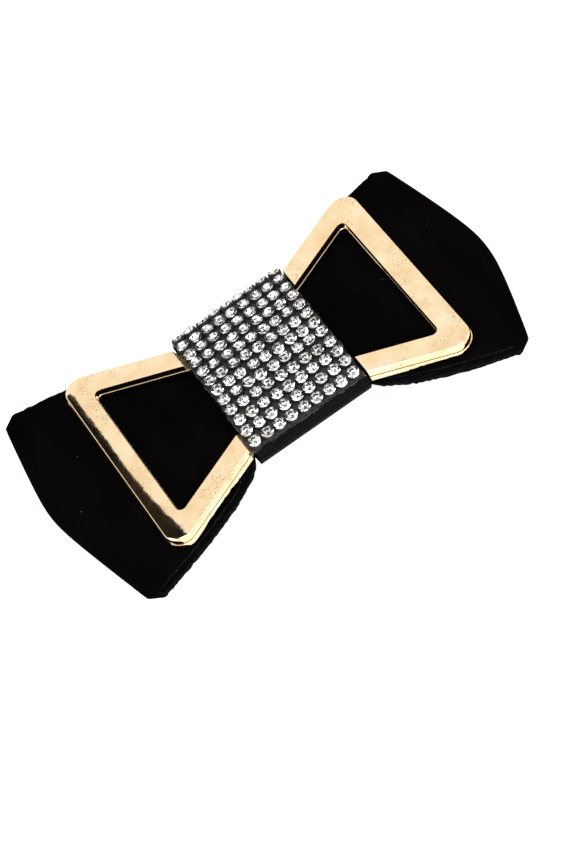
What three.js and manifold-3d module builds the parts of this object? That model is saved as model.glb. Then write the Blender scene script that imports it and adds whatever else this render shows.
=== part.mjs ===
// A velvet hair bow with a gold frame and a rhinestone centre, on an 80 mm French barrette.
// Millimetres, +Z up, +X along the bow. The clip lies front up on its hinge ears and latch ears at z = 0.
import * as THREE from "three";
import { mergeVertices } from "three/addons/utils/BufferGeometryUtils.js";
import Module from "manifold-3d";

const wasm = await Module();
wasm.setup();

// Heights of the stack, from the table up.
const bowBottom = 14.9;
const loopHeight = 4.4;
const frameBottom = 19.6;
const frameThickness = 3.3;
const saddleTop = 22.8;
const gap = 0.3;

// Velvet loops: one strip folded into two lobes. Each lobe's fold runs back from a soft tip, which lies at
// a place from -1 to 1 across it, by a slope on its front side and one on its back.
const velvetThickness = 1.0;
const waistHalfLength = 16.8;
const waistHalfWidth = 14.0;
const foldHalfWidth = 31.1;
const foldStation = 50;
const waistRelief = 0.3;
const waistLap = 0.5;
const pinchHalfLength = 3.0;
const pinchRamp = 3.0;
const pinchDepth = 0.65;
const stationCount = 6;
const stationStep = 5.5;
const loopDip = 0.2;
const dipCentre = 30;
const dipSpan = 20;
const flareFront = 0.55;
const flareBack = 0.42;
const leftLobe = { side: -1, tip: 56.4, place: 0.06, front: 8.1, back: 4.1, softness: 1.3, sway: 0.45 };
const rightLobe = { side: 1, tip: 54.9, place: -0.09, front: 10.2, back: 6.9, softness: 2.4, sway: -0.9 };

// Gathering thread: one flat wrap around the pinched waist.
const threadThickness = 0.35;
const threadHalfWidth = 0.8;
const threadCornerRadius = 0.3;

// Every piece is drawn about the frame's centre, which sits a little off the middle of the whole bow.
const frameCentre = { x: 0.7, y: 0.22 };

// Gold frame: an hourglass outline with one trapezoid window in each half.
const frameHalfLength = 39.1;
const frameHalfWidth = 29.0;
const frameSlope = 0.453;
const frameWaistHalfWidth = 16.4;
const windowOuterX = 33.3;
const windowInnerX = 10.6;
const windowHalfWidth = 20.5;
const frameCornerRadius = 4.0;
const windowCornerRadius = 1.1;
const frameBevel = 0.6;

// Saddle: the domed surface that the band, the net and the stones follow over the waist.
const domeRadius = 125;
const domeHalfWidth = 16.9;
const frontShoulder = 2.2;
const backShoulder = 8;
const bandThickness = 0.8;
const bandStart = -12.9;
const bandEnd = 15.7;
const recessStart = -14.2;
const recessEnd = 16.0;
const bandUnderHalfWidth = 7.6;
const bandUnderside = 11.2;
const bandBackFoot = 14.8;
const bandFrontFoot = [-15.9, 14.4];

// Rhinestones: nine rows side by side along X, each with its stones along the saddle.
const rowPitch = 3.2;
const stonePitch = 3.26;
const stoneRadius = 1.4;
const stoneHeight = 1.5;
const rowCount = 9;
const stonesPerRow = 12;
const firstStone = -16.15;
const stoneSides = 6;
const tableShare = 0.6;
const patchCentreX = 1.25;
const netThickness = 0.4;
const layerGap = 0.1;
const ribHalfWidth = 0.4;
const ribHeight = 0.45;

// French barrette: the arched plate with its two hinge ears.
const plateHalfLength = 40;
const plateHalfWidth = 5;
const plateThickness = 0.8;
const plateRise = 9;
const plateEndHeight = 5.2;
const plateHingeCorner = 1.2;
const plateLatchCorner = 3;
const plateEarHalfLength = 2.6;
const plateEarCorner = 1.4;
const plateEarHeights = [5.6, 7.2];
const plateEarThickness = 0.6;

// The pin and the eyes that turn on it.
const pinX = -37;
const pinZ = 2.2;
const pinRadius = 0.75;
const pinHeadRadius = 1.2;
const pinHeadLength = 0.6;
const eyeBore = pinRadius + gap;
const eyeRadius = 1.75;

// The latch: a bracket riveted under the plate, with a sprung ear each side.
const latchX = 36;
const bracketHalfLength = 3.4;
const bracketCorner = 0.6;
const bracketThickness = 0.6;
const rivetHoleRadius = 1.3;
const rivetShankRadius = 1;
const rivetHeadRadius = 2;
const rivetHeadRise = 0.6;
const rivetHeadTaper = 0.4;
const earHalfLength = 2.5;
const earInner = 2.4;
const earThickness = 0.6;
const earChamfer = 0.6;
const earTopHeights = [6.2, 4.1];
const hookInset = 0.8;
const hookReach = 0.75;
const hookHeights = [0.85, 1.5, 1.7];

// The clasp arm: a lower strip with an open frame at its tip, which drops over the ears.
const armHalfWidth = 2.5;
const armThickness = 0.7;
const armEndHeight = 2.0;
const armRise = 2.0;
const armStart = pinX + 1.4;
const armTaperEnd = pinX + 5;
const armNeckX = latchX - 7;
const armShoulderX = latchX - 4;
const armNoseX = 40;
const armTipX = 41.5;
const armTipHalfWidth = 4.9;
const armHoleHalfLength = 3.1;
const armHoleHalfWidth = 3.35;

// The tension bar: a bowed spring strip whose forked end is on the same pin.
const barThickness = 0.5;
const barHalfWidth = 4.0;
const barEndHeight = 5.0;
const barRise = 5.55;
const barEndX = latchX - 4.5;
const barEndCorner = 2.5;
const barRootX = pinX + 3;
const barEyeJoin = [pinX + 0.6, pinZ + 1.3];
const barSlotEnd = pinX + 4;

const blankHalfWidth = 6;
const barretteHeight = 20;
const archSegments = 15;

const materials = {
  velvet: new THREE.MeshStandardMaterial({ color: 0x0b0a0b, roughness: 0.95, metalness: 0 }),
  thread: new THREE.MeshStandardMaterial({ color: 0x131214, roughness: 0.8, metalness: 0 }),
  gold: new THREE.MeshStandardMaterial({ color: 0xe8cd9c, roughness: 0.22, metalness: 1 }),
  net: new THREE.MeshStandardMaterial({ color: 0x2a2a2d, roughness: 0.5, metalness: 0 }),
  stone: new THREE.MeshStandardMaterial({ color: 0xf1f4f6, roughness: 0.05, metalness: 0 }),
  steel: new THREE.MeshStandardMaterial({ color: 0xb9bcc0, roughness: 0.3, metalness: 1 }),
};

// ---- Solids -------------------------------------------------------------------------------------

function solid(geometry) {
  const bare = geometry.clone();
  bare.deleteAttribute("normal");
  bare.deleteAttribute("uv");
  const merged = mergeVertices(bare, 1e-4);
  return new wasm.Manifold(
    new wasm.Mesh({
      numProp: 3,
      vertProperties: merged.attributes.position.array,
      triVerts: new Uint32Array(merged.index.array),
    }),
  );
}

function geometryOf(manifold) {
  const mesh = manifold.getMesh();
  const geometry = new THREE.BufferGeometry();
  geometry.setAttribute("position", new THREE.BufferAttribute(mesh.vertProperties, 3));
  geometry.setIndex(new THREE.BufferAttribute(mesh.triVerts, 1));
  geometry.computeVertexNormals();
  return geometry;
}

function named(name, geometry, material) {
  const mesh = new THREE.Mesh(geometry, material);
  mesh.name = name;
  return mesh;
}

// Each of these extrudes a flat outline, drawn in the plane that its name gives, between two heights.
function extrudeAlong(shape, low, high, basis, options) {
  const settings = { depth: high - low, bevelEnabled: false, curveSegments: 3, ...options };
  const geometry = new THREE.ExtrudeGeometry(shape, settings);
  geometry.translate(0, 0, low);
  return geometry.applyMatrix4(new THREE.Matrix4().makeBasis(...basis));
}

const axisX = new THREE.Vector3(1, 0, 0);
const axisY = new THREE.Vector3(0, 1, 0);
const axisZ = new THREE.Vector3(0, 0, 1);

function extrudeXY(shape, lowZ, highZ, options) {
  return extrudeAlong(shape, lowZ, highZ, [axisX, axisY, axisZ], options);
}

function extrudeXZ(shape, lowY, highY, options) {
  return extrudeAlong(shape, -highY, -lowY, [axisX, axisZ, axisY.clone().negate()], options);
}

function extrudeYZ(shape, lowX, highX, options) {
  return extrudeAlong(shape, lowX, highX, [axisY, axisZ, axisX], options);
}

function polygon(points) {
  const corners = points.map(([x, y]) => new THREE.Vector2(x, y));
  return new THREE.Shape(THREE.ShapeUtils.isClockWise(corners) ? corners.reverse() : corners);
}

// An outline with a true arc at each corner. A corner is [x, y, radius].
function roundedShape(corners) {
  const shape = new THREE.Shape();
  corners.forEach(([x, y, radius], i) => {
    const corner = new THREE.Vector2(x, y);
    const before = corners[(i + corners.length - 1) % corners.length];
    const after = corners[(i + 1) % corners.length];
    const back = new THREE.Vector2(before[0] - x, before[1] - y).normalize();
    const ahead = new THREE.Vector2(after[0] - x, after[1] - y).normalize();
    const halfAngle = Math.acos(back.dot(ahead)) / 2;
    const reach = radius / Math.tan(halfAngle);
    const inward = back.clone().add(ahead).normalize();
    const centre = inward.multiplyScalar(radius / Math.sin(halfAngle)).add(corner);
    const start = back.clone().multiplyScalar(reach).add(corner).sub(centre);
    const end = ahead.clone().multiplyScalar(reach).add(corner).sub(centre);
    const clockwise = back.cross(ahead) > 0;
    shape.absarc(centre.x, centre.y, radius, start.angle(), end.angle(), clockwise);
  });
  return shape;
}

function roundedRectangle(left, bottom, right, top, radius) {
  return roundedShape([
    [left, bottom, radius],
    [right, bottom, radius],
    [right, top, radius],
    [left, top, radius],
  ]);
}

// The points of a closed counter-clockwise outline, each moved in by a distance.
function insetOutline(points, distance) {
  return points.map(([x, y], i) => {
    const [beforeX, beforeY] = points.at(i - 1);
    const [afterX, afterY] = points[(i + 1) % points.length];
    const first = new THREE.Vector2(beforeY - y, x - beforeX).normalize();
    const second = new THREE.Vector2(y - afterY, afterX - x).normalize();
    const scale = distance / (1 + first.dot(second));
    return [x + scale * (first.x + second.x), y + scale * (first.y + second.y)];
  });
}

// The outline of a strip of even thickness along a line of points.
function stripOutline(points, thickness) {
  const upper = [];
  const lower = [];
  points.forEach(([x, z], i) => {
    const from = points[Math.max(i - 1, 0)];
    const to = points[Math.min(i + 1, points.length - 1)];
    const along = new THREE.Vector2(to[0] - from[0], to[1] - from[1]).normalize();
    upper.push([x - (along.y * thickness) / 2, z + (along.x * thickness) / 2]);
    lower.unshift([x + (along.y * thickness) / 2, z - (along.x * thickness) / 2]);
  });
  return polygon([...lower, ...upper]);
}

// Points on the arc from [x0, z0] to [x1, z1] that rises to `rise` above the chord's middle.
function archPoints(x0, z0, x1, z1, rise, segments) {
  const halfChord = Math.hypot(x1 - x0, z1 - z0) / 2;
  const radius = (halfChord ** 2 + rise ** 2) / (2 * rise);
  const halfAngle = Math.asin(halfChord / radius);
  const tilt = Math.atan2(z1 - z0, x1 - x0);
  return Array.from({ length: segments + 1 }, (_, i) => {
    const angle = halfAngle * ((2 * i) / segments - 1);
    const along = radius * Math.sin(angle);
    const up = radius * Math.cos(angle) - radius + rise;
    const x = (x0 + x1) / 2 + along * Math.cos(tilt) - up * Math.sin(tilt);
    const z = (z0 + z1) / 2 + along * Math.sin(tilt) + up * Math.cos(tilt);
    return [x, z];
  });
}

function ring(outer, inner) {
  const shape = new THREE.Shape().absarc(0, 0, outer, 0, Math.PI * 2, false);
  shape.holes.push(new THREE.Path().absarc(0, 0, inner, 0, Math.PI * 2, true));
  return shape;
}

// ---- The bow ------------------------------------------------------------------------------------

// Two long loops of one strip, joined at a waist that the thread pinches.
function velvetBow() {
  const loops = [leftLobe, rightLobe].map((lobe) => solid(velvetLoop(lobe)));
  return geometryOf(solid(velvetWaist()).add(loops[0]).add(loops[1]));
}

// The gathered middle of the strip, a little slimmer than the loops that grow out of it.
function velvetWaist() {
  const middle = bowBottom + loopHeight / 2;
  const full = loopHeight / 2 - waistRelief;
  const pinched = loopHeight / 2 - pinchDepth;
  const right = [
    [pinchHalfLength, pinched],
    [pinchHalfLength + pinchRamp, full],
    [waistHalfLength + waistLap, full],
  ];
  const top = [...right.map(([x, z]) => [-x, z]).toReversed(), ...right];
  const bottom = top.map(([x, z]) => [x, -z]).toReversed();
  const shape = polygon([...top, ...bottom].map(([x, z]) => [x, middle + z]));
  return extrudeXZ(shape, -waistHalfWidth, waistHalfWidth);
}

// One loop: a folded strip, drawn in the XZ plane, extruded across the bow and then spread to its plan.
function velvetLoop(lobe) {
  const radius = loopHeight / 2;
  const middle = bowBottom + radius;
  const start = waistHalfLength - 1;
  const stations = Array.from({ length: stationCount }, (_, i) => start + i * stationStep);
  const foldX = foldStation - radius;
  const outline = new THREE.Shape(layerPoints(stations, middle, -radius));
  outline.absarc(foldX, middle, radius, -Math.PI / 2, Math.PI / 2, false);
  layerPoints(stations.toReversed(), middle, radius).forEach((point) => outline.lineTo(point.x, point.y));
  const inner = radius - velvetThickness;
  layerPoints(stations, middle, inner).forEach((point) => outline.lineTo(point.x, point.y));
  outline.absarc(foldX, middle, inner, Math.PI / 2, -Math.PI / 2, true);
  layerPoints(stations.toReversed(), middle, -inner).forEach((point) => outline.lineTo(point.x, point.y));

  const geometry = extrudeXZ(outline, -1, 1, { steps: 8 });
  const position = geometry.getAttribute("position");
  for (let i = 0; i < position.count; i += 1) {
    const spread = spreadVelvet(lobe, position.getX(i), position.getY(i));
    position.setXY(i, spread.x, spread.y);
  }
  return lobe.side > 0 ? geometry : mirroredX(geometry);
}

// Points along one face of a loop's layer, at `rise` above the loop's middle. The layers belly outwards.
function layerPoints(stations, middle, rise) {
  return stations.map((x) => {
    const dip = loopDip * ((x - dipCentre) / dipSpan) ** 2;
    return new THREE.Vector2(x, middle + rise - Math.sign(rise) * dip);
  });
}

// How far out a lobe's fold reaches at a place v, from -1 to 1, across it.
function foldReach(lobe, v) {
  const past = v - lobe.place;
  const steepness = (lobe.front + lobe.back) / 2;
  const skew = (lobe.front - lobe.back) / 2;
  return lobe.tip + skew * past + lobe.softness - Math.hypot(steepness * past, lobe.softness);
}

// Moves a point of the straight strip, x along it and v from -1 to 1 across it, to its place in the bow.
function spreadVelvet(lobe, x, v) {
  const fraction = Math.max(0, (x - waistHalfLength) / (foldStation - waistHalfLength));
  const flare = (foldHalfWidth - waistHalfWidth) * fraction ** (v > 0 ? flareBack : flareFront);
  return {
    x: x + fraction * (foldReach(lobe, v) - foldStation),
    y: v * (waistHalfWidth + flare) + lobe.sway * fraction,
  };
}

// A mirror image in the YZ plane, with each face turned round so that it still points out.
function mirroredX(geometry) {
  const flipped = geometry.clone().scale(-1, 1, 1);
  const position = flipped.getAttribute("position");
  const corner = new THREE.Vector3();
  const other = new THREE.Vector3();
  for (let i = 0; i < position.count; i += 3) {
    corner.fromBufferAttribute(position, i);
    other.fromBufferAttribute(position, i + 1);
    position.setXYZ(i, other.x, other.y, other.z);
    position.setXYZ(i + 1, corner.x, corner.y, corner.z);
  }
  return flipped;
}

function gatheringThread() {
  const halfWidth = waistHalfWidth + gap;
  const low = bowBottom + pinchDepth - gap;
  const high = bowBottom + loopHeight - pinchDepth + gap;
  const wrap = (grow) =>
    roundedRectangle(-halfWidth - grow, low - grow, halfWidth + grow, high + grow, threadCornerRadius + grow);
  const shape = wrap(threadThickness);
  shape.holes.push(wrap(0));
  return extrudeYZ(shape, -threadHalfWidth, threadHalfWidth);
}

function frameSide(x) {
  return frameHalfWidth - frameSlope * (frameHalfLength - x);
}

function windowSide(x) {
  return windowHalfWidth - frameSlope * (windowOuterX - x);
}

function goldFrame() {
  const waistX = frameHalfLength - (frameHalfWidth - frameWaistHalfWidth) / frameSlope;
  const outline = roundedShape([
    [frameHalfLength, -frameHalfWidth, frameCornerRadius],
    [frameHalfLength, frameHalfWidth, frameCornerRadius],
    [waistX, frameSide(waistX), frameCornerRadius],
    [-waistX, frameSide(waistX), frameCornerRadius],
    [-frameHalfLength, frameHalfWidth, frameCornerRadius],
    [-frameHalfLength, -frameHalfWidth, frameCornerRadius],
    [-waistX, -frameSide(waistX), frameCornerRadius],
    [waistX, -frameSide(waistX), frameCornerRadius],
  ]);
  [1, -1].forEach((side) => {
    outline.holes.push(
      roundedShape([
        [side * windowInnerX, -windowSide(windowInnerX), windowCornerRadius],
        [side * windowOuterX, -windowHalfWidth, windowCornerRadius],
        [side * windowOuterX, windowHalfWidth, windowCornerRadius],
        [side * windowInnerX, windowSide(windowInnerX), windowCornerRadius],
      ]),
    );
  });
  const body = extrudeXY(outline, frameBottom + frameBevel, frameBottom + frameThickness - frameBevel, {
    bevelEnabled: true,
    bevelThickness: frameBevel,
    bevelSize: frameBevel,
    bevelOffset: -frameBevel,
    bevelSegments: 2,
    curveSegments: 2,
  });
  return geometryOf(solid(body).subtract(solid(bandRecess())));
}

// The space that the band needs around the frame's waist: everything outside the saddle, less the band.
function bandRecess() {
  const height = frameBottom - 2;
  const kept = polygon(saddleLine(runTo(height, -1), runTo(height, 1), -bandThickness - gap));
  const outer = polygon([
    [-frameHalfWidth, frameBottom - 1],
    [frameHalfWidth, frameBottom - 1],
    [frameHalfWidth, saddleTop + 2],
    [-frameHalfWidth, saddleTop + 2],
  ]);
  const block = solid(extrudeYZ(outer, recessStart, recessEnd));
  const core = solid(extrudeYZ(kept, recessStart - 1, recessEnd + 1));
  return geometryOf(block.subtract(core));
}

// ---- The saddle: the band, the net and the stones -------------------------------------------------

const domeAngle = Math.asin(domeHalfWidth / domeRadius);
const domeRun = domeRadius * domeAngle;

// The shoulder on one side of the saddle, 1 for the back and -1 for the front, and the length at its end.
function shoulderOn(side) {
  const radius = side < 0 ? frontShoulder : backShoulder;
  return { radius, end: domeRun + radius * (Math.PI / 2 - domeAngle) };
}

// The place on the saddle at a length from its middle, measured on the band's outside, and an offset out.
function saddlePoint(length, offset) {
  const side = Math.sign(length) || 1;
  const run = Math.abs(length);
  const domeCentreZ = saddleTop - domeRadius;
  if (run <= domeRun) {
    const angle = run / domeRadius;
    const y = (domeRadius + offset) * Math.sin(angle);
    const z = domeCentreZ + (domeRadius + offset) * Math.cos(angle);
    return { y: side * y, z, angle: side * angle };
  }
  const { radius, end } = shoulderOn(side);
  const centreY = (domeRadius - radius) * Math.sin(domeAngle);
  const centreZ = domeCentreZ + (domeRadius - radius) * Math.cos(domeAngle);
  const bend = (Math.min(run, end) - domeRun) / radius;
  const y = centreY + (radius + offset) * Math.sin(domeAngle + bend);
  const z = centreZ + (radius + offset) * Math.cos(domeAngle + bend);
  const drop = Math.max(0, run - end);
  return { y: side * y, z: z - drop, angle: side * (domeAngle + bend) };
}

// The length along one side of the saddle at which its wall has come down to a height.
function runTo(height, side) {
  const { end } = shoulderOn(side);
  return side * (end + saddlePoint(side * end, 0).z - height);
}

// Points along the saddle from one length to another, close together only where it bends.
function saddleLine(from, to, offset) {
  const stops = [from, to];
  for (let i = -3; i <= 3; i += 1) stops.push((i * domeRun) / 4);
  for (let i = 0; i <= 4; i += 1) {
    [-1, 1].forEach((side) => stops.push(side * (domeRun + ((shoulderOn(side).end - domeRun) * i) / 4)));
  }
  return stops
    .filter((length) => length >= from && length <= to)
    .sort((a, b) => a - b)
    .map((length) => saddlePoint(length, offset))
    .map(({ y, z }) => [y, z]);
}

// One velvet strip that goes over the frame's waist, down both sides and under the base plate. Its back
// wall stands upright under the stones, and its front wall slopes in to the foot.
function velvetBand() {
  const outline = [
    [-bandUnderHalfWidth, bandUnderside],
    [bandUnderHalfWidth, bandUnderside],
    ...saddleLine(-shoulderOn(-1).end, runTo(bandBackFoot, 1), 0).toReversed(),
    bandFrontFoot,
  ];
  const shape = polygon(outline);
  shape.holes.push(polygon(insetOutline(outline, bandThickness)));
  return extrudeYZ(shape, bandStart, bandEnd);
}

// A strip that follows the saddle between two lengths and two offsets.
function saddleStrip(from, to, low, high) {
  const upper = saddleLine(from, to, high);
  const lower = saddleLine(from, to, low).toReversed();
  return polygon([...upper, ...lower]);
}

function rhinestoneNet() {
  const halfLength = (rowCount * rowPitch) / 2;
  const from = firstStone - stonePitch / 2;
  const to = firstStone + (stonesPerRow - 0.5) * stonePitch;
  const shape = saddleStrip(from, to, layerGap, layerGap + netThickness);
  return extrudeYZ(shape, patchCentreX - halfLength, patchCentreX + halfLength);
}

// One row of cut stones standing on the net, with the slim rib that joins their seats.
function stoneRow() {
  const seat = 2 * layerGap + netThickness;
  const last = firstStone + (stonesPerRow - 1) * stonePitch;
  const rib = saddleStrip(firstStone, last, seat, seat + ribHeight);
  let row = solid(extrudeYZ(rib, -ribHalfWidth, ribHalfWidth));
  for (let i = 0; i < stonesPerRow; i += 1) {
    const { y, z, angle } = saddlePoint(firstStone + i * stonePitch, seat);
    const stone = new THREE.CylinderGeometry(stoneRadius * tableShare, stoneRadius, stoneHeight, stoneSides);
    stone.translate(0, stoneHeight / 2, 0);
    row = row.add(solid(stone.rotateX(Math.PI / 2 - angle).translate(0, y, z)));
  }
  return geometryOf(row);
}

// ---- The barrette ---------------------------------------------------------------------------------

const plateRadius = (plateHalfLength ** 2 + plateRise ** 2) / (2 * plateRise);

// A strip of even thickness along a line in the XZ plane, cut to a plan outline.
function bentStrip(line, thickness, plan) {
  const blank = solid(extrudeXZ(stripOutline(line, thickness), -blankHalfWidth, blankHalfWidth));
  return blank.intersect(solid(extrudeXY(plan, 0, barretteHeight)));
}

function eye(lowY, highY) {
  const round = extrudeXZ(ring(eyeRadius, eyeBore), lowY, highY, { curveSegments: 8 });
  return solid(round.translate(pinX, 0, pinZ));
}

// A cylinder along the pin's axis, wider than the barrette, for cutting the eyes' bores clear.
function pinBore() {
  const cylinder = new THREE.CylinderGeometry(eyeBore, eyeBore, 2 * blankHalfWidth, 16);
  return solid(cylinder.translate(pinX, 0, pinZ));
}

// Places a geometry, made around the origin, on the plate's middle line over the latch, square to it.
function atLatch(geometry) {
  const angle = Math.asin(latchX / plateRadius);
  const z = plateEndHeight + plateRise - plateRadius * (1 - Math.cos(angle));
  return geometry.rotateY(angle).translate(latchX, 0, z);
}

// The arched top strip, with the two ears folded down at its hinge end.
function basePlate() {
  const line = archPoints(-plateHalfLength, plateEndHeight, plateHalfLength, plateEndHeight, plateRise, 16);
  const plan = roundedShape([
    [-plateHalfLength, -plateHalfWidth, plateHingeCorner],
    [plateHalfLength, -plateHalfWidth, plateLatchCorner],
    [plateHalfLength, plateHalfWidth, plateLatchCorner],
    [-plateHalfLength, plateHalfWidth, plateHingeCorner],
  ]);
  const [outerHeight, innerHeight] = plateEarHeights;
  const ear = roundedShape([
    [pinX - plateEarHalfLength, 0, plateEarCorner],
    [pinX + plateEarHalfLength, 0, plateEarCorner],
    [pinX + plateEarHalfLength, innerHeight, 0.2],
    [pinX - plateEarHalfLength, outerHeight, 0.2],
  ]);
  let plate = bentStrip(line, plateThickness, plan);
  [-plateHalfWidth, plateHalfWidth - plateEarThickness].forEach((y) => {
    plate = plate.add(solid(extrudeXZ(ear, y, y + plateEarThickness)));
  });
  const rivetHole = new THREE.CylinderGeometry(rivetHoleRadius, rivetHoleRadius, blankHalfWidth, 12);
  return geometryOf(plate.subtract(pinBore()).subtract(solid(atLatch(rivetHole.rotateX(Math.PI / 2)))));
}

// A plain pin with a flattened head outside each ear.
function hingePin() {
  const inside = plateHalfWidth + gap;
  const outside = inside + pinHeadLength;
  const profile = [
    [0, -outside],
    [pinHeadRadius, -outside],
    [pinHeadRadius, -inside],
    [pinRadius, -inside],
    [pinRadius, inside],
    [pinHeadRadius, inside],
    [pinHeadRadius, outside],
    [0, outside],
  ].map(([x, y]) => new THREE.Vector2(x, y));
  return new THREE.LatheGeometry(profile, 12).translate(pinX, 0, pinZ);
}

// The lower strip: an eye on the pin, an arched grip, and a frame at its tip that drops over the latch.
function claspArm() {
  const line = archPoints(armStart, armEndHeight, armTipX, armEndHeight, armRise, archSegments);
  const back = [
    [pinX, armHalfWidth - gap, 0.1],
    [armTaperEnd, armHalfWidth, 0.1],
    [armNeckX, armHalfWidth, 1],
    [armShoulderX, armTipHalfWidth, 1],
    [armNoseX, armTipHalfWidth, 1.4],
  ];
  const front = back.map(([x, y, radius]) => [x, -y, radius]);
  const plan = roundedShape([...front, [armTipX, 0, 3], ...back.toReversed()]);
  const left = latchX - armHoleHalfLength;
  const right = latchX + armHoleHalfLength;
  plan.holes.push(roundedRectangle(left, -armHoleHalfWidth, right, armHoleHalfWidth, 0.5));
  const arm = bentStrip(line, armThickness, plan);
  return geometryOf(arm.add(eye(-armHalfWidth + gap, armHalfWidth - gap)).subtract(pinBore()));
}

// The bowed spring strip under the plate: a fork with two eyes on the pin, and a free end at the latch.
function tensionBar() {
  const bow = archPoints(barRootX, barEndHeight, barEndX, barEndHeight, barRise, archSegments);
  const plan = roundedShape([
    [pinX, -barHalfWidth, 0.1],
    [barEndX, -barHalfWidth, barEndCorner],
    [barEndX, barHalfWidth, barEndCorner],
    [pinX, barHalfWidth, 0.1],
  ]);
  const forkInner = armHalfWidth + gap;
  const slot = roundedRectangle(2 * pinX - barSlotEnd, -forkInner, barSlotEnd, forkInner, 0.8);
  const strip = bentStrip([barEyeJoin, ...bow], barThickness, plan);
  const fork = strip.subtract(solid(extrudeXY(slot, 0, barretteHeight)));
  const bar = fork.add(eye(-barHalfWidth, -forkInner)).add(eye(forkInner, barHalfWidth));
  return geometryOf(bar.subtract(pinBore()));
}

// The flat spring plate that carries the latch ears, riveted under the end of the base plate.
function latchBracket() {
  const half = bracketHalfLength;
  const shape = roundedRectangle(-half, -half, half, half, bracketCorner);
  shape.holes.push(new THREE.Path().absarc(0, 0, rivetHoleRadius, 0, Math.PI * 2, true));
  const top = -plateThickness / 2 - gap;
  return atLatch(extrudeXY(shape, top - bracketThickness, top, { curveSegments: 5 }));
}

// A headed rivet through the plate and the bracket.
function latchRivet() {
  const top = plateThickness / 2 + gap;
  const bottom = -plateThickness / 2 - 2 * gap - bracketThickness;
  const profile = [
    [0, bottom - rivetHeadRise],
    [rivetHeadRadius - rivetHeadTaper, bottom - rivetHeadRise],
    [rivetHeadRadius, bottom],
    [rivetShankRadius, bottom],
    [rivetShankRadius, top],
    [rivetHeadRadius, top],
    [rivetHeadRadius - rivetHeadTaper, top + rivetHeadRise],
    [0, top + rivetHeadRise],
  ].map(([x, y]) => new THREE.Vector2(x, y));
  return atLatch(new THREE.LatheGeometry(profile, 12).rotateX(Math.PI / 2));
}

// One latch ear: a flat tab with a sprung root at the top and an outward hook that holds the arm's frame.
// Side -1 is the front ear and 1 the back one.
function latchEar(side) {
  const left = latchX - earHalfLength;
  const right = latchX + earHalfLength;
  const [leftTop, rightTop] = earTopHeights;
  const tab = polygon([
    [left + earChamfer, 0],
    [right - earChamfer, 0],
    [right, earChamfer],
    [right, rightTop],
    [left, leftTop],
    [left, earChamfer],
  ]);
  const outer = earInner + earThickness;
  const lap = outer - earThickness / 3;
  const [hookLow, hookTip, hookTop] = hookHeights;
  const hook = [
    [lap, hookLow],
    [outer + hookReach, hookTip],
    [outer + hookReach, hookTop],
    [lap, hookTop],
  ].map(([y, z]) => [side * y, z]);
  const faces = [side * earInner, side * outer].sort((a, b) => a - b);
  const catchPiece = extrudeYZ(polygon(hook), left + hookInset, right - hookInset);
  return geometryOf(solid(extrudeXZ(tab, ...faces)).add(solid(catchPiece)));
}

// ---- Assembly -------------------------------------------------------------------------------------

const clip = new THREE.Group();
const pieces = new THREE.Group();
pieces.position.set(frameCentre.x, frameCentre.y, 0);
clip.add(pieces);

pieces.add(
  named("velvet_bow_loop", velvetBow(), materials.velvet),
  named("gathering_thread", gatheringThread(), materials.thread),
  named("gold_bow_frame", goldFrame(), materials.gold),
  named("velvet_center_band", velvetBand(), materials.velvet),
  named("rhinestone_net", rhinestoneNet(), materials.net),
);

const rowGeometry = stoneRow();
for (let i = 0; i < rowCount; i += 1) {
  const row = named(`stone_row_${i + 1}`, rowGeometry, materials.stone);
  row.position.x = patchCentreX + (i - (rowCount - 1) / 2) * rowPitch;
  pieces.add(row);
}

pieces.add(
  named("base_plate", basePlate(), materials.steel),
  named("hinge_pin", hingePin(), materials.steel),
  named("clasp_arm", claspArm(), materials.steel),
  named("tension_bar", tensionBar(), materials.steel),
  named("latch_bracket", latchBracket(), materials.steel),
  named("latch_rivet", latchRivet(), materials.steel),
  named("latch_ear_front", latchEar(-1), materials.steel),
  named("latch_ear_back", latchEar(1), materials.steel),
);

export default clip;
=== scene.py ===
"""Looks of the velvet bow barrette: velvet, gilt frame, rhinestone net and nickel hardware.

Lengths in the shape code are millimetres about the gold frame's centre; `make_piece` turns them into
metres in the row frame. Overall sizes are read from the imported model's boxes, and sizes within a piece,
such as a window's, are named beside it.
"""

import math
import random

import bmesh
import bpy
from mathutils import Matrix, Vector, noise


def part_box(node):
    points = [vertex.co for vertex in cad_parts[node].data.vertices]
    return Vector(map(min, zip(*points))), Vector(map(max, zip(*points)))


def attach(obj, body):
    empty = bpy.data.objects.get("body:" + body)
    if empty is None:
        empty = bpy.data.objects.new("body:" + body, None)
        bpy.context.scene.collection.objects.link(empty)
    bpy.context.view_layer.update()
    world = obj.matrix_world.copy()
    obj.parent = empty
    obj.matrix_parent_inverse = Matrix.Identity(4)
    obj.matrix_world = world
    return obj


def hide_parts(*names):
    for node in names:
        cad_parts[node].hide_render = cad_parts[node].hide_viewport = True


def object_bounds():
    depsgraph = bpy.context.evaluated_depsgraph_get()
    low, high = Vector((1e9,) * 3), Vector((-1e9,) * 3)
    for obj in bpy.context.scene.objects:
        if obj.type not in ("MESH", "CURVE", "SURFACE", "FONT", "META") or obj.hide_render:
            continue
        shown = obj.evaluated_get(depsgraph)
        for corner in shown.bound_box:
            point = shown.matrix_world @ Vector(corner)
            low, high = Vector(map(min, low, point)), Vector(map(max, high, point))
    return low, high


MM = 0.001
TAU = 2 * math.pi

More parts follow.
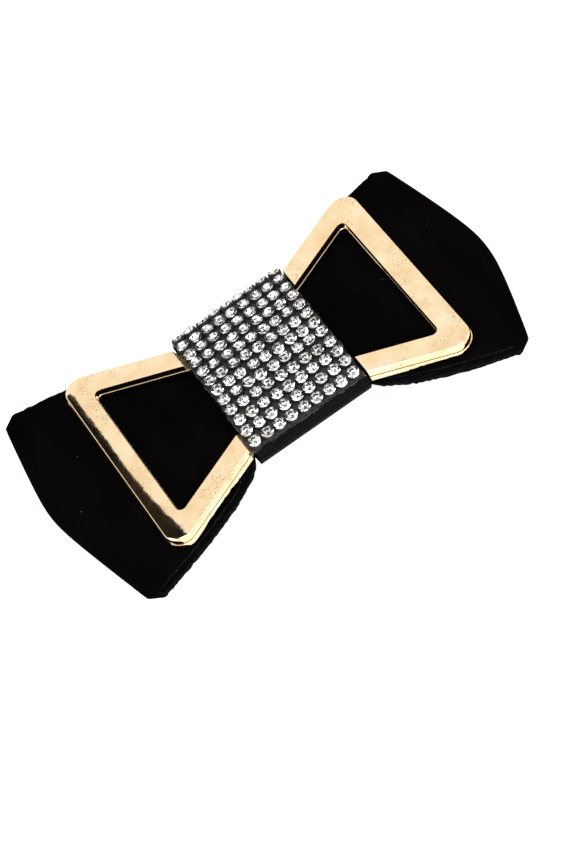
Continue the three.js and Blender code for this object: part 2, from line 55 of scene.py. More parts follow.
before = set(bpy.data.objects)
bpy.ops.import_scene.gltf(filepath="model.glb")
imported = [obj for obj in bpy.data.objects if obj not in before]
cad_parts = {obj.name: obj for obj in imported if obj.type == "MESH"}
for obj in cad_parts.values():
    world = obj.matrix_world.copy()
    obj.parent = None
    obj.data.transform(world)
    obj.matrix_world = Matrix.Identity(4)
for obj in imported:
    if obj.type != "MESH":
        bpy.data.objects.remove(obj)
cad_low, cad_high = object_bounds()


def box_mm(node):
    low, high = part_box(node)
    return low / MM, high / MM


frame_low, frame_high = box_mm("gold_bow_frame")
bow_low, bow_high = box_mm("velvet_bow_loop")
band_low, band_high = box_mm("velvet_center_band")
net_low, net_high = box_mm("rhinestone_net")
thread_low, thread_high = box_mm("gathering_thread")
CENTRE = Vector(((frame_low.x + frame_high.x) / 2, (frame_low.y + frame_high.y) / 2, 0))


# ---- Mesh helpers --------------------------------------------------------------------------------

# Faces that turn by more than these angles meet in a sharp edge.
CRISP = math.radians(35)
FRAME_CRISP = math.radians(50)
SOFT = math.radians(60)


def make_piece(name, points, faces, materials, slots=None, sharp=CRISP):
    """A mesh object from points in millimetres about the frame's centre, riding on the clip's body."""
    mesh = bpy.data.meshes.new(name)
    mesh.from_pydata([(Vector(p) + CENTRE) * MM for p in points], [], faces)
    for material in materials:
        mesh.materials.append(material)
    if slots:
        for polygon, slot in zip(mesh.polygons, slots):
            polygon.material_index = slot
    turn_faces_out(mesh)
    shade(mesh, sharp)
    piece = bpy.data.objects.new(name, mesh)
    bpy.context.scene.collection.objects.link(piece)
    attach(piece, "clip_body")
    return piece


def turn_faces_out(mesh):
    bm = bmesh.new()
    bm.from_mesh(mesh)
    bmesh.ops.recalc_face_normals(bm, faces=bm.faces)
    bm.to_mesh(mesh)
    bm.free()


def shade(mesh, sharp):
    """Smooth shading, with an edge kept sharp where its faces turn by more than the angle given.

    An angle of 0 leaves every face flat.
    """
    if sharp:
        mesh.polygons.foreach_set("use_smooth", [True] * len(mesh.polygons))
        mesh.set_sharp_from_angle(angle=sharp)
    mesh.update()


def ring_faces(rings, per_ring, close_rings=True):
    """Quads between rings of points, each ring closed. Ring i point j is i * per_ring + j."""
    faces = []
    for i in range(rings if close_rings else rings - 1):
        here = i * per_ring
        ahead = (i + 1) % rings * per_ring
        for j in range(per_ring):
            k = (j + 1) % per_ring
            faces.append((here + j, here + k, ahead + k, ahead + j))
    return faces


def rough(x, y, z, size):
    """Smooth noise from about -1 to 1 whose bumps are about `size` millimetres apart."""
    return noise.noise(Vector((x, y, z)) / size)


def smoothstep(low, high, x):
    """0 up to low, 1 from high on, and a smooth rise between them."""
    t = min(1.0, max(0.0, (x - low) / (high - low)))
    return t * t * (3 - 2 * t)


def tube(points, radius, sides):
    """Points and faces of a round tube along a line, with flat ends."""
    out = []
    count = len(points)
    side_way = None
    for i, p in enumerate(points):
        before = points[max(i - 1, 0)]
        after = points[min(i + 1, count - 1)]
        along = (Vector(after) - Vector(before)).normalized()
        if side_way is None:
            side_way = along.orthogonal()
        side_way = (side_way - along * side_way.dot(along)).normalized()
        other = along.cross(side_way)
        for k in range(sides):
            angle = TAU * k / sides
            out.append(Vector(p) + radius * (math.cos(angle) * side_way + math.sin(angle) * other))
    faces = ring_faces(count, sides, close_rings=False)
    faces.append(tuple(range(sides)))
    faces.append(tuple(range((count - 1) * sides, count * sides)))
    return out, faces


def around(radius, count, index, height):
    """A point on a level ring about the origin."""
    angle = TAU * index / count
    return radius * math.cos(angle), radius * math.sin(angle), height


def join_parts(parts):
    """One list of points and one of faces from several pairs."""
    points, faces = [], []
    for part_points, part_faces in parts:
        start = len(points)
        points.extend(part_points)
        faces.extend(tuple(start + i for i in face) for face in part_faces)
    return points, faces


# ---- Materials -----------------------------------------------------------------------------------


class Recipe:
    """A node material under construction. Positions are in metres in the row frame."""

    def __init__(self, name, **values):
        self.material = bpy.data.materials.new(name)
        self.material.use_nodes = True
        self.nodes = self.material.node_tree.nodes
        self.links = self.material.node_tree.links
        self.shader = self.nodes["Principled BSDF"]
        for socket, value in values.items():
            self.shader.inputs[socket.replace("_", " ")].default_value = value
        self.where = self.nodes.new("ShaderNodeTexCoord").outputs["Object"]

    def link(self, source, target):
        self.links.new(source, target)

    def place(self, scale=(1, 1, 1)):
        """Object coordinates stretched by a scale along each axis."""
        mapping = self.nodes.new("ShaderNodeMapping")
        mapping.inputs["Scale"].default_value = scale
        self.link(self.where, mapping.inputs["Vector"])
        return mapping.outputs["Vector"]

    def noise(self, size_mm, detail=3.0, stretch=(1, 1, 1), roughness=0.5):
        texture = self.nodes.new("ShaderNodeTexNoise")
        texture.inputs["Scale"].default_value = 1000 / size_mm
        texture.inputs["Detail"].default_value = detail
        texture.inputs["Roughness"].default_value = roughness
        self.link(self.place(stretch), texture.inputs["Vector"])
        return texture.outputs["Fac"]

    def cells(self, size_mm):
        """The distance to the nearest of some points scattered about `size_mm` apart."""
        texture = self.nodes.new("ShaderNodeTexVoronoi")
        texture.inputs["Scale"].default_value = 1000 / size_mm
        self.link(self.where, texture.inputs["Vector"])
        return texture.outputs["Distance"]

    def ramp(self, source, stops):
        """A colour ramp. Each stop is (position, grey) or (position, (r, g, b))."""
        node = self.nodes.new("ShaderNodeValToRGB")
        elements = node.color_ramp.elements
        while len(elements) < len(stops):
            elements.new(0.5)
        for element, (position, value) in zip(elements, stops):
            element.position = position
            colour = value if isinstance(value, tuple) else (value, value, value)
            element.color = (*colour, 1)
        self.link(source, node.inputs["Fac"])
        return node.outputs["Color"]

    def math(self, operation, a, b):
        node = self.nodes.new("ShaderNodeMath")
        node.operation = operation
        for socket, value in zip(node.inputs, (a, b)):
            if isinstance(value, (int, float)):
                socket.default_value = value
            else:
                self.link(value, socket)
        return node.outputs["Value"]

    def mix(self, factor, a, b, blend="MIX"):
        """A mix of two colours, each a socket or an (r, g, b)."""
        node = self.nodes.new("ShaderNodeMix")
        node.data_type = "RGBA"
        node.blend_type = blend
        for socket, value in ((node.inputs[0], factor), (node.inputs[6], a), (node.inputs[7], b)):
            if isinstance(value, (int, float)):
                socket.default_value = value
            elif isinstance(value, tuple):
                socket.default_value = (*value, 1)
            else:
                self.link(value, socket)
        return node.outputs[2]

    def bump(self, height, depth_mm, strength=1.0, onto=None):
        node = self.nodes.new("ShaderNodeBump")
        node.inputs["Distance"].default_value = depth_mm * MM
        node.inputs["Strength"].default_value = strength
        self.link(height, node.inputs["Height"])
        if onto is not None:
            self.link(onto, node.inputs["Normal"])
        return node.outputs["Normal"]

    def colour(self, source):
        self.link(source, self.shader.inputs["Base Color"])

    def roughness(self, source, low, high):
        """Roughness that follows a source from low at 0 to high at 1."""
        node = self.nodes.new("ShaderNodeMapRange")
        node.inputs["To Min"].default_value = low
        node.inputs["To Max"].default_value = high
        self.link(source, node.inputs["Value"])
        self.link(node.outputs["Result"], self.shader.inputs["Roughness"])

    def normal(self, source):
        self.link(source, self.shader.inputs["Normal"])


def velvet_material():
    """Black pile, a shade redder where it lies over, with a few flecks of lint."""
    m = Recipe("black_velvet", Roughness=0.95, Sheen_Weight=0.012, Sheen_Roughness=0.35)
    m.shader.inputs["Specular IOR Level"].default_value = 0.0
    m.shader.inputs["Sheen Tint"].default_value = (0.62, 0.54, 0.58, 1)
    laid = m.noise(9, detail=2, stretch=(1, 0.45, 1))
    pile = m.noise(0.28, detail=2)
    base = m.ramp(laid, [(0.3, (0.0012, 0.0010, 0.0011)), (0.7, (0.0026, 0.0020, 0.0023))])
    fleck = m.ramp(m.cells(3.1), [(0.035, 1.0), (0.06, 0.0)])
    chosen = m.ramp(m.noise(7.0, detail=0), [(0.60, 0.0), (0.66, 1.0)])
    m.colour(m.mix(m.mix(1.0, fleck, chosen, "MULTIPLY"), base, (0.06, 0.06, 0.065)))
    m.normal(m.bump(pile, 0.12, 0.7, m.bump(laid, 0.3, 0.3)))
    return m.material


def backing_material():
    """The velvet's woven back and its cut edge, a dark grey twill."""
    m = Recipe("velvet_backing", Roughness=0.9)
    m.shader.inputs["Specular IOR Level"].default_value = 0.03
    warp = m.noise(0.35, detail=1, stretch=(1, 0.25, 1))
    weft = m.noise(0.35, detail=1, stretch=(0.25, 1, 1))
    weave = m.math("MAXIMUM", warp, weft)
    m.colour(m.ramp(weave, [(0.35, (0.002, 0.0018, 0.002)), (0.75, (0.010, 0.009, 0.010))]))
    m.normal(m.bump(weave, 0.12))
    return m.material


def cut_edge_material():
    """The thin line that a cut edge of the backing shows between its piles."""
    m = Recipe("velvet_cut_edge", Roughness=0.9)
    m.shader.inputs["Specular IOR Level"].default_value = 0.05
    threads = m.noise(0.3, detail=2)
    m.colour(m.ramp(threads, [(0.45, (0.002, 0.0018, 0.002)), (0.8, (0.016, 0.015, 0.016))]))
    m.normal(m.bump(threads, 0.15))
    return m.material


def thread_material():
    m = Recipe("black_thread", Roughness=0.6, Sheen_Weight=0.2)
    strands = m.noise(0.12, detail=1, stretch=(1, 0.3, 0.3))
    m.colour(m.ramp(strands, [(0.3, (0.006, 0.006, 0.007)), (0.7, (0.022, 0.021, 0.024))]))
    m.normal(m.bump(strands, 0.06))
    return m.material


def gold_material():
    """Pale gilt plating: a little cloudy, with clusters of fine brown specks and a soft orange peel."""
    m = Recipe("pale_gilt", Metallic=1.0, Roughness=0.08)
    clouds = m.noise(5.5, detail=4, roughness=0.6)
    grime = m.noise(0.5, detail=3, roughness=0.75)
    worn = m.ramp(m.noise(6.0, detail=3, roughness=0.6), [(0.47, 0.0), (0.62, 0.8)])
    tones = [(0.30, (0.93, 0.665, 0.375)), (0.50, (0.99, 0.765, 0.475)), (0.70, (1.0, 0.86, 0.60))]
    tone = m.ramp(clouds, tones)
    dust = m.mix(1.0, m.ramp(grime, [(0.52, 0.0), (0.62, 1.0)]), worn, "MULTIPLY")
    dusty = m.mix(dust, tone, (0.56, 0.32, 0.14))
    pits = m.ramp(m.cells(0.6), [(0.09, 1.0), (0.17, 0.0)])
    sparse = m.ramp(m.noise(3.2, detail=2), [(0.58, 0.0), (0.66, 0.85)])
    pitted = m.mix(1.0, pits, sparse, "MULTIPLY")
    m.colour(m.mix(pitted, dusty, (0.25, 0.14, 0.06)))
    m.roughness(grime, 0.02, 0.07)
    peel = m.bump(m.noise(4.0, detail=2), 0.03, 0.5)
    m.normal(m.bump(m.noise(0.3, detail=2), 0.002, 0.3, peel))
    return m.material


def recess_shade_gilt_material():
    """The plating on the left step beside the band, painted brown and streaky for the dull reflection and
    shade of the recess.
    """
    m = Recipe("recess_shade_gilt", Metallic=0.25, Roughness=0.5)
    streaks = m.noise(0.8, detail=4, stretch=(0.5, 1, 0.5), roughness=0.7)
    stops = [(0.34, (0.07, 0.04, 0.02)), (0.48, (0.34, 0.22, 0.12)), (0.66, (0.85, 0.68, 0.46))]
    m.colour(m.ramp(streaks, stops))
    m.roughness(streaks, 0.5, 0.2)
    m.normal(m.bump(streaks, 0.08, 0.7))
    return m.material


def parting_groove_shade_material():
    """The groove round the frame's sides above the ledge at the parting line, painted dark brown as the
    shade that falls in it.
    """
    m = Recipe("gilt_parting_groove_shade", Metallic=1.0, Roughness=0.45)
    groove_shade_mottle = m.noise(1.2, detail=4, roughness=0.7)
    m.colour(m.ramp(groove_shade_mottle, [(0.35, (0.07, 0.03, 0.01)), (0.7, (0.32, 0.16, 0.06))]))
    m.normal(m.bump(groove_shade_mottle, 0.05))
    return m.material


def net_material():
    """The dark plastic net that holds the stones: satin, a little uneven where it was moulded."""
    m = Recipe("grey_net_plastic", Roughness=0.42)
    m.shader.inputs["Specular IOR Level"].default_value = 0.25
    cloud = m.noise(1.1, detail=3)
    m.colour(m.ramp(cloud, [(0.3, (0.011, 0.011, 0.011)), (0.7, (0.030, 0.029, 0.029))]))
    m.roughness(cloud, 0.32, 0.55)
    m.normal(m.bump(m.noise(0.4, detail=2), 0.06, 0.6))
    return m.material


def film_material():
    """The net's clear, slightly smoky glue film at its cut edges."""
    m = Recipe("clear_edge_film", Roughness=0.25, Alpha=0.3)
    m.shader.inputs["Specular IOR Level"].default_value = 0.3
    cloud = m.noise(0.7, detail=3)
    m.colour(m.ramp(cloud, [(0.3, (0.04, 0.04, 0.04)), (0.7, (0.16, 0.155, 0.15))]))
    m.normal(m.bump(cloud, 0.08))
    return m.material


def stone_material():
    """Clear cut glass with the faintest grey, polished but for hairline marks."""
    m = Recipe("cut_glass", Roughness=0.0, IOR=1.5, Transmission_Weight=1.0)
    m.shader.inputs["Specular IOR Level"].default_value = 0.5
    marks = m.noise(0.5, detail=2)
    m.colour(m.ramp(marks, [(0.3, (0.96, 0.97, 0.98)), (0.7, (1.0, 1.0, 1.0))]))
    m.roughness(marks, 0.0, 0.03)
    return m.material


def foil_material():
    """The silvered back of a stone, dull in places."""
    m = Recipe("silver_foil", Metallic=1.0, Roughness=0.03)
    cloud = m.noise(2.6, detail=2)
    m.colour(m.ramp(cloud, [(0.34, (0.60, 0.58, 0.55)), (0.58, (0.97, 0.96, 0.94))]))
    m.roughness(cloud, 0.10, 0.02)
    return m.material


def steel_material(name, way, tint=(0.54, 0.53, 0.51)):
    """Nickel-plated strip steel with rolling marks along `way` and a few duller smudges."""
    stretch = [1.0, 1.0, 1.0]
    stretch[way] = 0.035
    m = Recipe(name, Metallic=1.0, Roughness=0.25)
    lines = m.noise(0.12, detail=3, stretch=tuple(stretch))
    smudge = m.noise(5.0, detail=4, roughness=0.65)
    dark = tuple(0.72 * part for part in tint)
    bright = (0.74, 0.73, 0.71)
    worn = m.ramp(smudge, [(0.3, dark), (0.62, tint)])
    m.colour(m.mix(m.ramp(lines, [(0.45, 0.0), (0.75, 0.35)]), worn, bright))
    m.roughness(smudge, 0.2, 0.4)
    m.normal(m.bump(lines, 0.012, 0.6))
    return m.material


velvet = velvet_material()
backing = backing_material()
cut_edge = cut_edge_material()
thread = thread_material()
gold = gold_material()
parting_groove_shade = parting_groove_shade_material()
recess_shade_gilt = recess_shade_gilt_material()
net_plastic = net_material()
edge_film = film_material()
cut_glass = stone_material()
foil = foil_material()


# ---- Velvet strips -------------------------------------------------------------------------------


def strip_section(divisions, thickness):
    """Round a strip's cross-section: (across from -1 to 1, out past its edge, height) and a slot each.

    The pile's outside is slot 0, the backing inside is slot 1 and the cut edge is slot 2.
    """
    half = thickness / 2
    rim = [(0.06, 0.62), (0.12, 0.16), (0.12, -0.16), (0.06, -0.62)]
    section = [(2 * i / divisions - 1, 0.0, half) for i in range(divisions + 1)]
    section += [(1.0, out, part * half) for out, part in rim]
    section += [(1 - 2 * i / divisions, 0.0, -half) for i in range(divisions + 1)]
    section += [(-1.0, out, -part * half) for out, part in rim]
    outer = [0] * divisions
    edge = [0, 0, 2, 1, 1]
    return section, outer + edge + [1] * divisions + edge[::-1]


FRAY_SIZE = 0.55


def closed_strip(stations, place, section, ragged):
    """A closed loop of strip. place(station, across) gives the middle of its thickness.

    Each station's ring stands on the surface's own normal, and the cut edges are ragged by a noise.
    """
    step = 0.02
    count = len(stations)
    points = []
    for i, station in enumerate(stations):
        before, after = stations[i - 1], stations[(i + 1) % count]
        for across, out, height in section:
            here = place(station, across)
            along = place(after, across) - place(before, across)
            side = place(station, min(1.0, across + step)) - place(station, max(-1.0, across - step))
            normal = along.cross(side).normalized()
            edge = side.normalized() * math.copysign(1.0, across)
            level = here + normal * height
            fray = ragged * (0.5 + rough(*level, FRAY_SIZE)) if abs(across) > 0.999 else 0.0
            points.append(level + edge * (out + fray))
    return points, ring_faces(count, len(section))


def velvet_strip(name, stations, place, divisions, thickness, ragged):
    """A velvet piece of one closed strip: pile outside, woven back inside, and cut edges."""
    section, slots = strip_section(divisions, thickness)
    points, faces = closed_strip(stations, place, section, ragged)
    looks = [velvet, backing, cut_edge]
    return make_piece(name, points, faces, looks, slots=slots * len(stations), sharp=SOFT)


VELVET_THICKNESS = 1.0
WAIST_HALF_WIDTH = 14.0
WAIST_TUCK = 0.7
FOLD_HALF_WIDTH = 31.1
FOLD_X = 50.0
FLARE_FRONT = 0.6
FLARE_BACK = 0.42
FOLD_CORNER = 1.8
# Each lobe flares from `start`, and its fold reaches out to `tip` at `place` across. From there the fold
# falls back by `front` and `back` millimetres to its corners. The lobe leans by `sway` towards +Y.
LOBES = {
    -1: {
        "start": 13.4,
        "tip": 56.4,
        "place": 0.06,
        "front": 8.1,
        "back": 4.1,
        "softness": 1.3,
        "sway": 0.45,
    },
    1: {
        "start": 15.8,
        "tip": 54.9,
        "place": -0.09,
        "front": 10.2,
        "back": 6.9,
        "softness": 2.4,
        "sway": -0.9,
    },
}
# Creases that run out from the waist: side, place across, depth and width as a share of the half width.
CREASES = [
    (-1, 0.30, 0.34, 0.045),
    (-1, -0.42, 0.28, 0.055),
    (1, 0.16, 0.34, 0.05),
    (1, -0.34, 0.3, 0.045),
]


def fold_reach(lobe, across):
    """How far out a lobe's fold reaches at a place across it, from its soft tip to its rounded corners."""
    past = across - lobe["place"]
    steepness = (lobe["front"] + lobe["back"]) / 2
    skew = (lobe["front"] - lobe["back"]) / 2
    slopes = skew * past + lobe["softness"] - math.hypot(steepness * past, lobe["softness"])
    into_corner = max(0.0, 1 - (1 - abs(across)) * FOLD_HALF_WIDTH / FOLD_CORNER)
    return lobe["tip"] + slopes - FOLD_CORNER * (1 - math.sqrt(1 - min(1.0, into_corner) ** 2))


def bow_place(station, across):
    """The middle of the bow strip. A station is (x along the straight loop, height about its middle)."""
    x, rise = station
    side = 1 if x > 0 else -1
    run = abs(x)
    lobe = LOBES[side]
    share = max(0.0, (run - lobe["start"]) / (FOLD_X - lobe["start"]))
    flare = (FOLD_HALF_WIDTH - WAIST_HALF_WIDTH) * share ** (FLARE_BACK if across > 0 else FLARE_FRONT)
    tuck = WAIST_TUCK * (1 - smoothstep(0, lobe["start"], run))
    y = across * (WAIST_HALF_WIDTH + flare - tuck) + lobe["sway"] * share
    out = run + share * (fold_reach(lobe, across) - FOLD_X)
    z = BOW_MIDDLE + rise + bow_relief(side, run, across, rise)
    return Vector((side * out, y, z))


GATHER_DEPTH = 0.22
GATHERS_PER_HALF = 5.5
GATHER_REACH = 11
SLACK_DEPTH = 0.22
SLACK_SIZE = 17


def bow_relief(side, run, across, rise):
    """Gathers at the waist, creases that leave it, and the slack of the lobes, in millimetres of height."""
    upper = 1 if rise > 0 else -1
    ripple = 1 + math.cos(TAU * GATHERS_PER_HALF * across + side)
    gathers = -GATHER_DEPTH * ripple * math.exp(-((run / GATHER_REACH) ** 2))
    fade = smoothstep(4, 12, run) * (1 - smoothstep(24, 40, run))
    creases = 0.0
    for crease_side, place, depth, width in CREASES:
        if crease_side == side:
            creases -= depth * fade * math.exp(-(((across - place * upper) / width) ** 2))
    slack = SLACK_DEPTH * smoothstep(36, 50, run) * rough(side * run, across * 24, 3 * upper, SLACK_SIZE)
    return upper * (gathers + creases) + slack


RELIEF_ROOM = 0.05
BOW_MIDDLE = (bow_low.z + bow_high.z) / 2
BOW_HALF = (bow_high.z - bow_low.z - VELVET_THICKNESS) / 2 - RELIEF_ROOM
WAIST_PINCH = 0.5
LOBE_DIP = 0.2
LOBE_MIDDLE = 30
LOBE_HALF = 20
FOLD_TUCK = 0.2


def bow_rise(run):
    """Half the loop's height at a distance from its middle: pinched at the waist, fullest in each lobe."""
    leave_waist = smoothstep(2.5, 8, run)
    dip = LOBE_DIP
    if run > LOBE_MIDDLE - LOBE_HALF:
        dip *= ((run - LOBE_MIDDLE) / LOBE_HALF) ** 2
    return BOW_HALF - WAIST_PINCH * (1 - leave_waist) - dip * leave_waist


def bow_stations():
    """Once round the loop: over the top, round the +X fold, back below and round the -X fold."""
    stations = []
    straight = FOLD_X - BOW_HALF - VELVET_THICKNESS / 2
    steps = 130
    turns = 12
    for upper in (1, -1):
        for i in range(steps):
            x = upper * straight * (2 * i / steps - 1)
            stations.append((x, upper * bow_rise(abs(x))))
        for i in range(turns):
            angle = math.pi / 2 - math.pi * i / turns
            end = straight - FOLD_TUCK * (1 - math.cos(angle))
            reach = end + BOW_HALF * math.cos(angle)
            stations.append((upper * reach, upper * BOW_HALF * math.sin(angle)))
    return stations


def make_bow():
    piece = velvet_strip(
        "velvet_bow", bow_stations(), bow_place, divisions=44, thickness=VELVET_THICKNESS, ragged=0.42
    )
    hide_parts("velvet_bow_loop")


# ---- The saddle that the band, the net and the stones follow -------------------------------------

# Across the clip, the band's outside is a shallow dome, a round shoulder at each end and upright walls.
DOME_RADIUS = 125.0
DOME_HALF_WIDTH = 16.9
SHOULDER_RADIUS = {-1: 2.2, 1: 8.0}
SADDLE_TOP = band_high.z
DOME_ANGLE = math.asin(DOME_HALF_WIDTH / DOME_RADIUS)
DOME_RUN = DOME_RADIUS * DOME_ANGLE
WALL_RUN = {
    side: DOME_RUN + radius * (math.pi / 2 - DOME_ANGLE) for side, radius in SHOULDER_RADIUS.items()
}


def saddle(run, offset=0.0):
    """(y, z, angle from upright) at a length along the band's outside from its middle."""
    side = 1 if run >= 0 else -1
    run = abs(run)
    low = SADDLE_TOP - DOME_RADIUS
    if run <= DOME_RUN:
        angle = run / DOME_RADIUS
        reach = DOME_RADIUS + offset
        return side * reach * math.sin(angle), low + reach * math.cos(angle), side * angle
    radius = SHOULDER_RADIUS[side]
    y = (DOME_RADIUS - radius) * math.sin(DOME_ANGLE)
    z = low + (DOME_RADIUS - radius) * math.cos(DOME_ANGLE)
    bend = DOME_ANGLE + (min(run, WALL_RUN[side]) - DOME_RUN) / radius
    drop = max(0.0, run - WALL_RUN[side])
    reach = radius + offset
    return side * (y + reach * math.sin(bend)), z + reach * math.cos(bend) - drop, side * bend


BAND_THICKNESS = 0.8
BAND_BACK_FOOT = 14.8
BAND_FRONT_FOOT = (-15.62, 14.72)
BAND_UNDER_HALF_WIDTH = 7.6
BAND_STEPS_OVER = 74
BAND_SIDE_BELLY = -0.3
BAND_FRONT_BELLY = -0.15
BAND_EDGE_ROOM = 0.15


def slack_line(start, end, steps, belly):
    """Points after a start up to an end, bowed out to the right of the way by `belly`."""
    way = Vector(end) - Vector(start)
    right = Vector((way.y, -way.x)).normalized()
    line = []
    for i in range(1, steps + 1):
        point = Vector(start) + way * (i / steps) + right * belly * math.sin(math.pi * i / steps)
        line.append((point.x, point.y))
    return line


def band_stations():
    """(y, z) of the middle of the band's thickness once round: over the top, down, under and up."""
    inset = BAND_THICKNESS / 2
    start = -WALL_RUN[-1]
    end = WALL_RUN[1] + saddle(WALL_RUN[1])[1] - BAND_BACK_FOOT
    under = band_low.z + inset
    over = []
    for i in range(BAND_STEPS_OVER + 1):
        over.append(saddle(start + (end - start) * i / BAND_STEPS_OVER, -inset)[:2])
    line = over + slack_line(over[-1], (BAND_UNDER_HALF_WIDTH, under), 12, BAND_SIDE_BELLY)
    line += slack_line(line[-1], (-BAND_UNDER_HALF_WIDTH, under), 16, 0)
    line += slack_line(line[-1], BAND_FRONT_FOOT, 12, BAND_SIDE_BELLY)
    line += slack_line(line[-1], over[0], 12, BAND_FRONT_BELLY)
    return line[:-1]


def band_place(station, across):
    """The middle of the band's thickness, with edges that wander a little."""
    y, z = station
    middle = (band_low.x + band_high.x) / 2 - CENTRE.x
    half = (band_high.x - band_low.x) / 2 - BAND_EDGE_ROOM
    wave = 0.12 * rough(y * 1.3, z, 7, 6)
    return Vector((middle + across * (half + wave), y, z))


def make_band():
    stations = band_stations()
    piece = velvet_strip(
        "velvet_band", stations, band_place, divisions=26, thickness=BAND_THICKNESS, ragged=0.18
    )
    length = sum(math.dist(a, stations[i - 1]) for i, a in enumerate(stations))
    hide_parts("velvet_center_band")
    stitches = make_stitches()


STITCHES = 9
STITCH_PITCH = 2.9
STITCH_MARGIN = 3.0
STITCH_SLANT = 1.1
STITCH_LENGTH = 2.6
STITCH_RADIUS = 0.16


def make_stitches():
    """Slanted hand stitches that close the band's lap under the base plate."""
    parts = []
    low = band_low.z + STITCH_RADIUS / 2
    steps = 8
    for i in range(STITCHES):
        x = band_low.x - CENTRE.x + STITCH_MARGIN + i * STITCH_PITCH
        line = []
        for k in range(steps + 1):
            t = k / steps
            sag = STITCH_RADIUS * math.sin(math.pi * t)
            line.append((x + STITCH_SLANT * t, STITCH_LENGTH * (t - 0.5), low - sag))
        parts.append(tube(line, STITCH_RADIUS, 6))
    points, faces = join_parts(parts)
    piece = make_piece("band_seam_stitches", points, faces, [thread], sharp=SOFT)
    return piece


THREAD_TURNS = 6
THREAD_RADIUS = 0.13
THREAD_INSET = 0.2


def thread_outline():
    """(y, z) once round the gathered waist: a rectangle with rounded corners."""
    half_y = (thread_high.y - thread_low.y) / 2 - THREAD_INSET
    low, high = thread_low.z + THREAD_INSET, thread_high.z - THREAD_INSET
    corner = 0.7
    steps = 5
    outline = []
    for cy, cz, start in (
        (half_y - corner, high - corner, 0),
        (-half_y + corner, high - corner, 1),
        (-half_y + corner, low + corner, 2),
        (half_y - corner, low + corner, 3),
    ):
        for k in range(steps + 1):
            angle = (start + k / steps) * math.pi / 2
            outline.append((cy + corner * math.cos(angle), cz + corner * math.sin(angle)))
    return outline


def make_thread():
    """Six turns of thread round the gathered waist."""
    outline = thread_outline()
    width = thread_high.x - thread_low.x - 0.3
    count = THREAD_TURNS * len(outline)
    line = []
    for i in range(count + 1):
        y, z = outline[i % len(outline)]
        x = (thread_low.x + thread_high.x) / 2 - CENTRE.x + width * (i / count - 0.5)
        line.append((x, y, z))
    points, faces = tube(line, THREAD_RADIUS, 7)
    piece = make_piece("gathering_thread_wraps", points, faces, [thread], sharp=SOFT)
    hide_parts("gathering_thread")


# ---- Gold frame ----------------------------------------------------------------------------------

FRAME_HALF_LENGTH = (frame_high.x - frame_low.x) / 2
FRAME_HALF_WIDTH = 29.0
FRAME_SLOPE = 0.453
FRAME_WAIST = 16.4
WINDOW_OUTER = 33.3
WINDOW_INNER = 10.6
WINDOW_HALF_WIDTH = 20.5
END_CORNER = 4.0
WAIST_CORNER = 6.0
WINDOW_CORNER = 1.1
CORNER_STEPS = 8
PARTING_SHARE = 0.42
PARTING_INSET = 0.24
CROWN_INSET = 0.18
# The frame is let down under the band between these two x, and bends down over the steps at them.
RECESS = (-13.7, 16.0)
LEFT_STEP = (RECESS[0] - 0.5, RECESS[0] + 0.7)
RIGHT_STEP = (RECESS[1] - 0.2, RECESS[1] + 0.1)
# The plating is painted brown and streaky between these two x, from this height above the frame's foot, for
# the recess's reflection and shade.
RECESS_SHADE = (RECESS[0] - 0.35, -9.0)
RECESS_SHADE_ABOVE = 1.0


def rounded_ring(corners, grow):
    """Points round an outline with rounded corners, (x, y, radius) each, moved out by `grow`."""
    count = len(corners)
    lines = []
    for i in range(count):
        a, b = Vector(corners[i][:2]), Vector(corners[(i + 1) % count][:2])
        along = (b - a).normalized()
        out = Vector((along.y, -along.x))
        lines.append((a + out * grow, along))
    ring = []
    for i in range(count):
        (p, back), (q, ahead) = lines[i - 1], lines[i]
        turn = back.x * ahead.y - back.y * ahead.x
        away = q - p
        corner = p + back * ((away.x * ahead.y - away.y * ahead.x) / turn)
        radius = max(0.05, corners[i][2] + (grow if turn > 0 else -grow))
        half = math.acos(max(-1.0, min(1.0, -back.dot(ahead)))) / 2
        reach = radius / math.tan(half)
        start, end = corner - back * reach, corner + ahead * reach
        inward = (ahead - back).normalized()
        centre = corner + inward * (radius / math.sin(half))
        first, last = start - centre, end - centre
        sweep = math.atan2(first.x * last.y - first.y * last.x, first.dot(last))
        for k in range(CORNER_STEPS + 1):
            turned = Matrix.Rotation(sweep * k / CORNER_STEPS, 2) @ first
            ring.append(centre + turned)
    return ring


def frame_side(x):
    return FRAME_HALF_WIDTH - FRAME_SLOPE * (FRAME_HALF_LENGTH - x)


def window_side(x):
    return WINDOW_HALF_WIDTH - FRAME_SLOPE * (WINDOW_OUTER - x)


def frame_outline():
    waist_x = FRAME_HALF_LENGTH - (FRAME_HALF_WIDTH - FRAME_WAIST) / FRAME_SLOPE
    right = [
        (waist_x, -frame_side(waist_x), WAIST_CORNER),
        (FRAME_HALF_LENGTH, -FRAME_HALF_WIDTH, END_CORNER),
        (FRAME_HALF_LENGTH, FRAME_HALF_WIDTH, END_CORNER),
        (waist_x, frame_side(waist_x), WAIST_CORNER),
    ]
    return right + [(-x, -y, r) for x, y, r in right]


def window_outline(side):
    inner, outer = window_side(WINDOW_INNER), WINDOW_HALF_WIDTH
    corners = [
        (WINDOW_INNER, -inner, WINDOW_CORNER),
        (WINDOW_OUTER, -outer, WINDOW_CORNER),
        (WINDOW_OUTER, outer, WINDOW_CORNER),
        (WINDOW_INNER, inner, WINDOW_CORNER),
    ]
    return corners if side > 0 else [(-x, -y, r) for x, y, r in corners]


